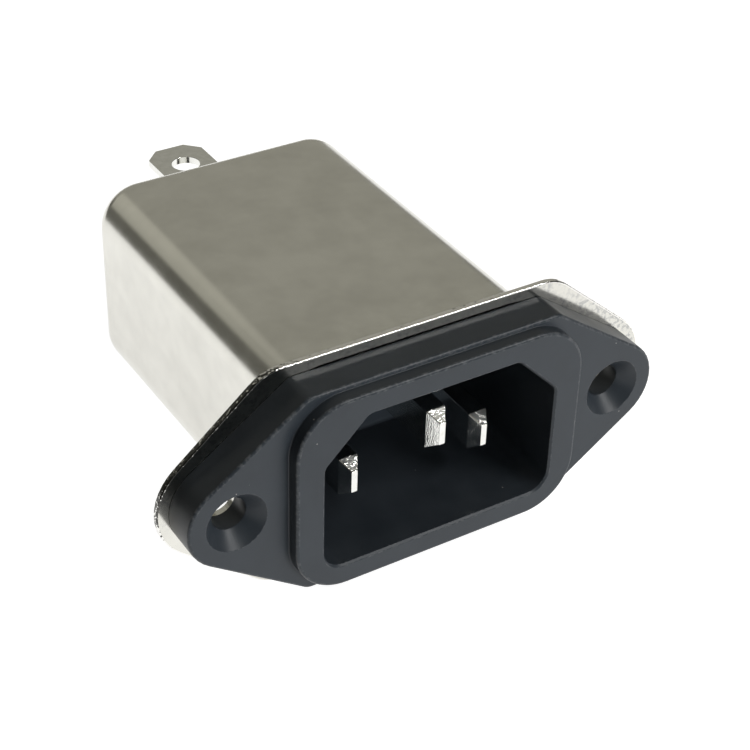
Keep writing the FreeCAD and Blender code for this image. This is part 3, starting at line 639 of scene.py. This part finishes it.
# %% Earth rivet
shank, head = ring(0, rivet_z, 1.0, 32), ring(0, rivet_z, 1.6, 48)
dome = 0.5
head_back, head_front = can_end + 1.7, can_end + 0.8
formed_back = can_inside_end - 0.4
formed_front = formed_back - 0.45
rivet = carry(head, [(-dome, head_back, 0), (0, head_back, dome), (0, head_front, 0)])
rivet += carry(shank, [(0, head_front, 0), (0, formed_back, 0)])
rivet += carry(head, [(0, formed_back, 0), (0, formed_front, small), (-small, formed_front, 0)])
rivet += [flat(head_back, 1, [offset(head, -dome)]), flat(head_front, -1, [head, shank]),
          flat(formed_back, 1, [head, shank]), flat(formed_front, -1, [offset(head, -small)])]
make_piece("earth_rivet_set", "earth_rivet", "nickel_brass", rivet)

# %% [markdown]
# ## Finishes
#
# A finish starts from the colour of the real material and then gets what keeps it from looking
# like paint: a colour that drifts a little, a roughness that isn't even, a grain in the bump, and
# wear where hands and tools touch, which is along the edges. Some edge colour is painted light
# instead: the paler dots on the moulding's edges are partly a painted highlight, and the dark
# flecks on the steel's trimmed edge are painted shade. All patterns are read in object coordinates,
# in metres, so a scale of 1000 repeats about once a millimetre. These helpers add one node each.

# %% Node helpers
def new_finish(name, metallic=0.0, specular=0.5):
    """Material with its Principled shader: returns both."""
    finish = bpy.data.materials.new(name)
    finish.use_nodes = True
    shader = finish.node_tree.nodes["Principled BSDF"]
    shader.inputs["Metallic"].default_value = metallic
    shader.inputs["Specular IOR Level"].default_value = specular
    return finish, shader


def add(finish, kind, inputs=(), **settings):
    """Adds a node, with its settings and its inputs: a socket is linked, a value is set."""
    made = finish.node_tree.nodes.new("ShaderNode" + kind)
    for name, value in settings.items():
        setattr(made, name, value)
    for name, value in dict(inputs).items():
        if isinstance(value, bpy.types.NodeSocket):
            finish.node_tree.links.new(value, made.inputs[name])
        else:
            made.inputs[name].default_value = value
    return made


def set_input(finish, shader, name, socket):
    """Links a socket to an input of the shader."""
    finish.node_tree.links.new(socket, shader.inputs[name])


def place(finish, stretch=(1, 1, 1)):
    """Object coordinates, squeezed along each axis."""
    where = add(finish, "TexCoord").outputs["Object"]
    return add(finish, "Mapping", {"Vector": where, "Scale": stretch}).outputs["Vector"]


def noise(finish, scale, detail=3.0, stretch=(1, 1, 1)):
    """Cloudy noise between 0 and 1 with about scale repeats to the metre."""
    return add(finish, "TexNoise", {"Vector": place(finish, stretch), "Scale": scale,
                                    "Detail": detail, "Roughness": 0.55}).outputs["Fac"]


def between(finish, value, low, high, start=0.3, end=0.7):
    """Maps start..end of a value to low..high, and holds it there."""
    return add(finish, "MapRange", {"Value": value, "From Min": start, "From Max": end,
                                    "To Min": low, "To Max": high}).outputs["Result"]


def colours(finish, value, *stops):
    """Colour ramp through (position, (r, g, b)) stops."""
    ramp = add(finish, "ValToRGB", {"Fac": value})
    for stop, (position, colour) in zip(ramp.color_ramp.elements, stops):
        stop.position = position
        stop.color = (*colour, 1.0)
    for position, colour in stops[2:]:
        ramp.color_ramp.elements.new(position).color = (*colour, 1.0)
    return ramp.outputs["Color"]


def maths(finish, operation, first, second=0.0, third=0.0):
    """One sum on two or three numbers."""
    made = add(finish, "Math", {0: first, 1: second, 2: third}, operation=operation)
    return made.outputs["Value"]


def mixed(finish, share, first, second):
    """Mixes two colours."""
    made = add(finish, "MixRGB", {"Fac": share, "Color1": first, "Color2": second})
    return made.outputs["Color"]


def relief(finish, height, depth, under=None):
    """Bump of a height between 0 and 1 and a depth in millimetres."""
    inputs = {"Height": height, "Distance": depth * mm, "Strength": 1.0}
    if under is not None:
        inputs["Normal"] = under
    return add(finish, "Bump", inputs).outputs["Normal"]


def edges(finish):
    """The edge number of the skins: 1 on outer roundings, 0 elsewhere."""
    return add(finish, "Attribute", attribute_name="edge").outputs["Fac"]


finishes = {}
print("a noise scale of 1000 repeats every", 1 / 1000 / mm, "mm")

# %% [markdown]
# ## Black moulding
#
# Flame-retardant nylon or polyester, moulded in a tool with a fine spark-eroded texture. It is dark
# grey in the light and nearly black out of it, because almost all that it sends back is the weak
# gloss of its rough skin. The edge roundings get paler grey dots, partly rubbed wear and partly a
# painted highlight for the thin glints along the edges, and a few specks of dust sit on it.

# %% Moulding finish
def black_moulding():
    """Near-black plastic: drifting gloss, spark-eroded grain, edges with rubbed wear and painted
    highlight, dust.
    """
    finish, shader = new_finish("black_moulding", specular=0.40)
    drift = noise(finish, 260, 4)
    grain = noise(finish, 7000, 2)
    body = colours(finish, drift, (0.3, (0.020, 0.025, 0.031)), (0.7, (0.028, 0.034, 0.041)))
    # Paler grey dots on the edge roundings: partly rubbed wear, partly a painted highlight for the
    # thin glints along the edges.
    rub_and_glint_dots = between(finish, noise(finish, 2400, 3), 0.0, 0.6, 0.46, 0.66)
    speckled_edges = maths(finish, "MULTIPLY", edges(finish), rub_and_glint_dots)
    rub_and_highlight_grey = (0.10, 0.105, 0.11, 1)
    body = mixed(finish, speckled_edges, body, rub_and_highlight_grey)
    cells = add(finish, "TexVoronoi", {"Vector": place(finish), "Scale": 700.0})
    speck = maths(finish, "LESS_THAN", cells.outputs["Distance"], 0.045)
    lot = add(finish, "SeparateColor", {"Color": cells.outputs["Color"]}).outputs["Red"]
    rare = maths(finish, "GREATER_THAN", lot, 0.86)
    dust = maths(finish, "MULTIPLY", maths(finish, "MULTIPLY", speck, rare), 0.6)
    dust_grey = (0.45, 0.44, 0.42, 1)
    set_input(finish, shader, "Base Color", mixed(finish, dust, body, dust_grey))
    set_input(finish, shader, "Roughness", between(finish, drift, 0.37, 0.45))
    smooth = relief(finish, noise(finish, 120, 2), 0.02)
    set_input(finish, shader, "Normal", relief(finish, grain, 0.006, smooth))
    return finish


finishes["black_moulding"] = black_moulding()
print("black moulding:", len(finishes["black_moulding"].node_tree.nodes), "nodes")

# %% [markdown]
# ## Plated steel
#
# The can is tinned or nickel-plated before or after drawing, which leaves a satin grey with faint
# cloudy blotches, fine lines along the draw, and faces that aren't quite flat. The flange's front
# is shinier, and its upper half has dull pits. The trimmed edge has a burr in its relief and bright
# flecks of cut steel between dark ones. The dark flecks are painted shade and dark reflection: most
# of them sit on the upper left, and they are rarer towards the lower left and the right.

# %% Steel finish
def plated_steel():
    """Satin plating, shinier and pitted in front, with a burred edge whose dark flecks are painted
    shade.
    """
    finish, shader = new_finish("plated_steel", metallic=1.0)
    blotch = noise(finish, 110, 4)
    cloud = noise(finish, 420, 4)
    grain = noise(finish, 5200, 2)
    where = add(finish, "TexCoord").outputs["Object"]
    along = add(finish, "SeparateXYZ", {"Vector": where}).outputs
    front = between(finish, along["Y"], 1.0, 0.0, -0.0005, -0.0002)
    mottle = maths(finish, "ADD", maths(finish, "MULTIPLY", blotch, 0.6),
                   maths(finish, "MULTIPLY", cloud, 0.4))
    body = colours(finish, mottle, (0.36, (0.70, 0.69, 0.64)), (0.64, (0.81, 0.80, 0.745)))
    pits = between(finish, noise(finish, 2600, 4), 1.0, 0.25, 0.40, 0.52)
    pitted = maths(finish, "MULTIPLY", pits, between(finish, cloud, 0.25, 0.95, 0.42, 0.54))
    upper = maths(finish, "MULTIPLY", front, between(finish, along["Z"], 0.0, 1.0, -0.002, 0.002))
    pit_grey = (0.48, 0.48, 0.47, 1)
    body = mixed(finish, maths(finish, "MULTIPLY", pitted, upper), body, pit_grey)
    # Dark flecks on the trimmed edge are painted shade and dark reflection, placed by position:
    # most on the upper left, fewer towards the lower left and the right. The bright flecks are the
    # cut steel.
    burr_and_shade_noise = noise(finish, 3600, 3)
    painted_shade_share = maths(finish, "MINIMUM", between(finish, along["X"], 0.60, 0.35, -0.0165, -0.011),
                 between(finish, along["Z"], 0.33, 0.60, -0.003, 0.001))
    dark = maths(finish, "LESS_THAN", burr_and_shade_noise, painted_shade_share)
    bright_fleck, shade_fleck_grey = (0.90, 0.89, 0.86, 1), (0.10, 0.10, 0.095, 1)
    edge_flecks_and_shade = mixed(finish, dark, bright_fleck, shade_fleck_grey)
    set_input(finish, shader, "Base Color", mixed(finish, edges(finish), body, edge_flecks_and_shade))
    rough = maths(finish, "ADD", between(finish, blotch, 0.20, 0.23),
                  between(finish, cloud, -0.01, 0.02))
    set_input(finish, shader, "Roughness", maths(finish, "MULTIPLY_ADD", front, -0.09, rough))
    wavy = relief(finish, noise(finish, 55, 1), 0.04)
    lines = noise(finish, 1500, 3, (1, 0.03, 1))
    drawn = relief(finish, lines, 0.0012, wavy)
    speckled_edges = maths(finish, "MULTIPLY", burr_and_shade_noise, edges(finish))
    rolled = relief(finish, grain, 0.0008, drawn)
    set_input(finish, shader, "Normal", relief(finish, speckled_edges, 0.03, rolled))
    return finish


finishes["plated_steel"] = plated_steel()
print("plated steel:", len(finishes["plated_steel"].node_tree.nodes), "nodes")

# %% [markdown]
# ## Nickel-plated brass
#
# Pins and blades are bright nickel over brass. The coining tool leaves fine ridges across the
# tapers of the pins, so the bump there is a wave along Y, and only there.

# %% Nickel finish
def nickel_brass():
    """Bright plating, with the coining tool's ridges where the edge number is 1."""
    finish, shader = new_finish("nickel_brass", metallic=1.0)
    cloud = noise(finish, 1200, 3)
    body = colours(finish, cloud, (0.3, (0.80, 0.80, 0.765)), (0.7, (0.90, 0.90, 0.87)))
    set_input(finish, shader, "Base Color", body)
    rough = between(finish, cloud, 0.10, 0.17)
    rougher = maths(finish, "MULTIPLY_ADD", edges(finish), 0.02, rough)
    set_input(finish, shader, "Roughness", rougher)
    ridges = add(finish, "TexWave", {"Vector": place(finish), "Scale": 1700.0,
                                     "Distortion": 9.0, "Detail": 3.0, "Detail Scale": 1.5},
                 bands_direction="Y")
    faint = between(finish, noise(finish, 1500, 2), 0.2, 1.0, 0.35, 0.65)
    ridged = maths(finish, "MULTIPLY_ADD", ridges.outputs["Fac"], faint, noise(finish, 4200, 2))
    coined = maths(finish, "MULTIPLY", ridged, edges(finish))
    scratched = relief(finish, noise(finish, 3000, 3, (1, 0.15, 1)), 0.001)
    set_input(finish, shader, "Normal", relief(finish, coined, 0.0065, scratched))
    return finish


finishes["nickel_brass"] = nickel_brass()
print("nickel on brass:", len(finishes["nickel_brass"].node_tree.nodes), "nodes")


# %% [markdown]
# ## Finishes inside the can
#
# The filter behind the socket is hidden, but its pieces are part of the model and show in a cut
# view. Each gets the colour of its real material with a mottled colour, an uneven gloss and a
# little relief, all from one recipe with its own numbers.

# %% Recipe for the inner pieces
def inner_finish(name, dark, light, rough, scale, depth, metallic=0.0):
    """Two colours mottled at a scale, a roughness within 0.08 of rough, and a relief."""
    finish, shader = new_finish(name, metallic)
    mottle = noise(finish, scale, 4)
    set_input(finish, shader, "Base Color", colours(finish, mottle, (0.3, dark), (0.7, light)))
    set_input(finish, shader, "Roughness", between(finish, noise(finish, scale * 2.3),
                                                   rough - 0.08, rough + 0.08))
    set_input(finish, shader, "Normal", relief(finish, mottle, depth))
    return finish


# Each row: slot, darker colour, lighter colour, roughness, scale, relief in millimetres, metallic.
for name, *recipe in (
        ("board_laminate", (0.04, 0.16, 0.07), (0.07, 0.24, 0.11), 0.42, 2500, 0.01),
        ("ferrite", (0.03, 0.03, 0.032), (0.07, 0.07, 0.075), 0.55, 4000, 0.02),
        ("enamelled_copper", (0.42, 0.13, 0.04), (0.62, 0.24, 0.09), 0.25, 1500, 0.004, 1.0),
        ("capacitor_case", (0.62, 0.48, 0.09), (0.74, 0.60, 0.15), 0.45, 1800, 0.01),
        ("ceramic_coating", (0.04, 0.13, 0.36), (0.07, 0.20, 0.48), 0.30, 900, 0.02),
        ("resistor_coating", (0.52, 0.38, 0.24), (0.64, 0.50, 0.34), 0.40, 2200, 0.01),
        ("tinned_copper", (0.55, 0.55, 0.54), (0.74, 0.73, 0.71), 0.35, 2600, 0.004, 1.0),
        ("line_insulation", (0.12, 0.05, 0.025), (0.18, 0.08, 0.04), 0.50, 1400, 0.01),
        ("neutral_insulation", (0.02, 0.08, 0.30), (0.04, 0.12, 0.38), 0.50, 1400, 0.01),
        ("insulating_film", (0.62, 0.57, 0.42), (0.74, 0.69, 0.54), 0.35, 500, 0.01)):
    finishes[name] = inner_finish(name, *recipe)
print(len(finishes), "finishes:", ", ".join(finishes))

# %% [markdown]
# ## Putting the finishes on
#
# A skin says which slot of the record it belongs to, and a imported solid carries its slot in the
# name of its material. So one loop dresses everything, the hidden solids too.

# %% Dressing skins and solids
for piece in [one for one in scene.objects if one.type == "MESH"]:
    slot_name = piece.get("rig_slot")
    if slot_name:
        piece.data.materials.append(finishes[slot_name])
    else:
        slot_name = piece.material_slots[0].material.name.split(".")[0]
        piece.material_slots[0].material = finishes[slot_name]
    print(piece.name, "in", slot_name)

# %% [markdown]
# ## Floor, light and camera
#
# The part lies on its flange's lower side and on the lower edge of the can's end, so the floor
# slopes by the angle between the two: that leaves the part in the row's frame, and the floor under
# it. The floor is white to the camera, and nearly so in reflections, because it sends out a little
# light to those rays alone. To the lamps it is a light grey paint, so it still takes a soft shadow.
#
# Satin steel shows its surroundings more than its own colour. The sky is dark, with a wide grey
# patch above and behind the part for the can's top, another straight above for the views from
# behind, two small paler ones that give the long light band on the can's shoulder, and a dim one
# low on the left for the dark band beside it. The key lamp stands low in front. It lights the
# moulding but isn't seen in reflections, so it leaves no white patch on the steel.

# %% Floor
rest_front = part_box("shield_can")[0][2] / mm
rest_back, rest_back_y = -10.4, can_end - punch
gap_below = 0.02
slope = np.arctan2(rest_back - rest_front, rest_back_y)
floor_left, floor_right = -76.0, 900.0
floor_front, floor_back = -900.0, 260.0
grids = np.meshgrid([floor_left, floor_right], [floor_front, floor_back])
x, y = (grid.reshape(-1) for grid in grids)
z = rest_front - gap_below + np.tan(slope) * y
floor_mesh = bpy.data.meshes.new("floor")
floor_mesh.from_pydata((np.column_stack([x, y, z]) * mm).tolist(), [], [(0, 1, 3, 2)])
floor = bpy.data.objects.new("floor", floor_mesh)
scene.collection.objects.link(floor)
paint = bpy.data.materials.new("floor_paint")
paint.use_nodes = True
floor_shader = paint.node_tree.nodes["Principled BSDF"]
floor_shader.inputs["Base Color"].default_value = (0.45, 0.45, 0.45, 1)
floor_shader.inputs["Roughness"].default_value = 0.9
floor_shader.inputs["Specular IOR Level"].default_value = 0.0
floor_shader.inputs["Emission Color"].default_value = (1, 1, 1, 1)
white_seen, white_mirrored = 0.93, 0.87
rays = add(paint, "LightPath").outputs
seen = maths(paint, "MAXIMUM", rays["Is Camera Ray"], rays["Is Transmission Ray"])
mirrored = maths(paint, "MULTIPLY", rays["Is Glossy Ray"], white_mirrored)
set_input(paint, floor_shader, "Emission Strength",
          maths(paint, "MULTIPLY_ADD", seen, white_seen, mirrored))
floor_mesh.materials.append(paint)
print("floor slopes by", round(float(np.degrees(slope)), 2), "degrees")

# %% Sky and lamps
world = bpy.data.worlds.new("studio")
world.use_nodes = True
scene.world = world


def glow(towards, inner, outer, strength):
    """A round patch of sky: full strength up to inner degrees from towards, none past outer."""
    towards = np.array(towards) / np.linalg.norm(towards)
    direction = add(world, "TexCoord").outputs["Generated"]
    near = add(world, "VectorMath", {0: direction, 1: towards.tolist()}, operation="DOT_PRODUCT")
    return between(world, near.outputs["Value"], 0.0, strength,
                   np.cos(np.radians(outer)), np.cos(np.radians(inner)))


sky = 0.05
for patch_of_sky in (((-0.64, 0.77, -0.05), 22, 32, 0.125), ((0.28, 0.80, 0.50), 32, 46, 0.31),
                     ((0.0, -0.10, 1.0), 30, 45, 0.33), ((-0.32, 0.81, 0.49), 9, 14, 0.50),
                     ((-0.47, 0.79, 0.38), 7, 11, 0.47)):
    sky = maths(world, "MAXIMUM", sky, glow(*patch_of_sky))
rays = add(world, "LightPath").outputs
seen = maths(world, "MAXIMUM", rays["Is Camera Ray"], rays["Is Transmission Ray"])
level = maths(world, "MAXIMUM", seen, sky)
background = world.node_tree.nodes["Background"]
world.node_tree.links.new(level, background.inputs["Strength"])
tint = mixed(world, seen, (1.0, 0.98, 0.86, 1), (1, 1, 1, 1))
world.node_tree.links.new(tint, background.inputs["Color"])


def lamp(name, at, width, height, watts):
    """Soft box at a point in millimetres, turned towards the part."""
    light = bpy.data.lights.new(name, "AREA")
    light.shape = "RECTANGLE"
    light.size = width * mm
    light.size_y = height * mm
    light.energy = watts
    stand = bpy.data.objects.new(name, light)
    scene.collection.objects.link(stand)
    aim = Vector((0, 10, 0)) * mm - Vector(at) * mm
    stand.location = Vector(at) * mm
    stand.rotation_euler = aim.to_track_quat("-Z", "Y").to_euler()
    return stand


key_box = lamp("key_box", (60, -480, 55), 300, 120, 1.8)
key_box.visible_glossy = False
lamp("edge_box", (240, -300, 380), 260, 50, 1.1)

# %% Camera
azimuth, elevation, roll = np.radians([-33.11, 35.21, 2.07])
forward = Vector((-np.sin(azimuth) * np.cos(elevation), np.cos(azimuth) * np.cos(elevation),
                  -np.sin(elevation)))
across = forward.cross(Vector((0, 0, 1))).normalized()
above = across.cross(forward)
right = across * np.cos(roll) + above * np.sin(roll)
up = above * np.cos(roll) - across * np.sin(roll)
target = Vector((5.84, 12.60, -4.03))
distance = 180.0
camera_data = bpy.data.cameras.new("camera")
camera_data.lens = 87.54
camera_data.sensor_width = 36.0
camera_data.shift_x = -0.0194
camera_data.shift_y = 0.0014
camera_data.clip_start = 0.01
camera_data.clip_end = 20.0
camera = bpy.data.objects.new("camera", camera_data)
scene.collection.objects.link(camera)
camera.matrix_world = (Matrix.Translation((target - forward * distance) * mm)
                       @ Matrix((right, up, -forward)).transposed().to_4x4())
scene.camera = camera
print("camera at", [round(value, 4) for value in camera.location])
